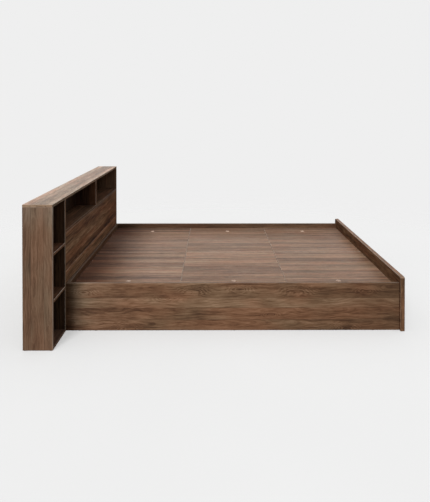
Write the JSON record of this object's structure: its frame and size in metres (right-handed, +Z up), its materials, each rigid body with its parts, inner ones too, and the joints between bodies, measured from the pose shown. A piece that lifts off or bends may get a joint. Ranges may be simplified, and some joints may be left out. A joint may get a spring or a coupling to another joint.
{
  "type": "storage bed",
  "caption": "Low storage bed with a cabinet headboard that has open cubbies and a side wing, a sunk deck of lift-up lids over storage compartments, and a footboard.",
  "frame": {"origin": "on the floor, under the middle of the whole bed", "axes": "+X from the headboard to the footboard, +Y across the bed away from the headboard's wing, +Z up"},
  "size_m": [2.217, 1.804, 0.815],
  "materials": {
    "walnut_laminate": "matt walnut-look laminate on particle board",
    "deck_laminate": "matt walnut-look laminate on particle board, raw in the finger hole",
    "carcass_board": "laminated particle board",
    "back_board": "printed hardboard",
    "base_board": "plain fibreboard",
    "softwood": "planed softwood",
    "zinc_steel": "bright zinc plate",
    "glide_plastic": "moulded"
  },
  "bodies": {
    "bed": {"bed_cubby_divider": "walnut_laminate", "bed_cubby_floor": "walnut_laminate", "bracket_screws": "zinc_steel", "cleat_screws": "zinc_steel", "corner_brackets": "zinc_steel", "cross_bearer_1": "softwood", "cross_bearer_2": "softwood", "cross_partition_1": "carcass_board", "cross_partition_2": "carcass_board", "far_end_panel": "walnut_laminate", "far_foot_base_panel": "base_board", "far_head_base_panel": "base_board", "far_middle_base_panel": "base_board", "far_rail_cleats": "softwood", "far_side_rail": "walnut_laminate", "floor_battens": "softwood", "floor_glides": "glide_plastic", "foot_bay_bearer": "softwood", "foot_bay_divider": "carcass_board", "foot_end_cleats": "softwood", "footboard": "walnut_laminate", "head_bay_bearer": "softwood", "head_bay_divider": "carcass_board", "head_end_cleats": "softwood", "head_rail": "walnut_laminate", "headboard_back_panel": "back_board", "headboard_bolts": "zinc_steel", "headboard_bottom_board": "carcass_board", "headboard_inner_upright": "carcass_board", "headboard_nuts": "zinc_steel", "headboard_top_board": "walnut_laminate", "lower_front_panel": "walnut_laminate", "middle_bay_bearer": "softwood", "middle_bay_divider": "carcass_board", "near_end_panel": "walnut_laminate", "near_foot_base_panel": "base_board", "near_head_base_panel": "base_board", "near_middle_base_panel": "base_board", "near_rail_cleats": "softwood", "near_side_rail": "walnut_laminate", "upper_front_panel": "walnut_laminate", "wing_back_panel": "back_board", "wing_bottom_board": "walnut_laminate", "wing_divider_panel": "walnut_laminate", "wing_lower_shelf": "walnut_laminate", "wing_upper_shelf": "walnut_laminate"},
    "near_head_lid": {"near_head_lid": "deck_laminate"},
    "far_head_lid": {"far_head_lid": "deck_laminate"},
    "near_middle_lid": {"near_middle_lid": "deck_laminate"},
    "far_middle_lid": {"far_middle_lid": "deck_laminate"},
    "near_foot_lid": {"near_foot_lid": "deck_laminate"},
    "far_foot_lid": {"far_foot_lid": "deck_laminate"}
  },
  "joints": [
    {"name": "near_head_lid_tip", "type": "hinge", "parent": "bed", "child": "near_head_lid", "pos_m": [-0.5885, 0.113, 0.252], "axis": [-1, 0, 0], "range_deg": [0, 80]},
    {"name": "far_head_lid_tip", "type": "hinge", "parent": "bed", "child": "far_head_lid", "pos_m": [-0.5885, 0.115, 0.252], "axis": [1, 0, 0], "range_deg": [0, 80]},
    {"name": "near_middle_lid_tip", "type": "hinge", "parent": "bed", "child": "near_middle_lid", "pos_m": [0.0795, 0.113, 0.252], "axis": [-1, 0, 0], "range_deg": [0, 80]},
    {"name": "far_middle_lid_tip", "type": "hinge", "parent": "bed", "child": "far_middle_lid", "pos_m": [0.0795, 0.115, 0.252], "axis": [1, 0, 0], "range_deg": [0, 80]},
    {"name": "near_foot_lid_tip", "type": "hinge", "parent": "bed", "child": "near_foot_lid", "pos_m": [0.7475, 0.113, 0.252], "axis": [-1, 0, 0], "range_deg": [0, 80]},
    {"name": "far_foot_lid_tip", "type": "hinge", "parent": "bed", "child": "far_foot_lid", "pos_m": [0.7475, 0.115, 0.252], "axis": [1, 0, 0], "range_deg": [0, 80]}
  ]
}
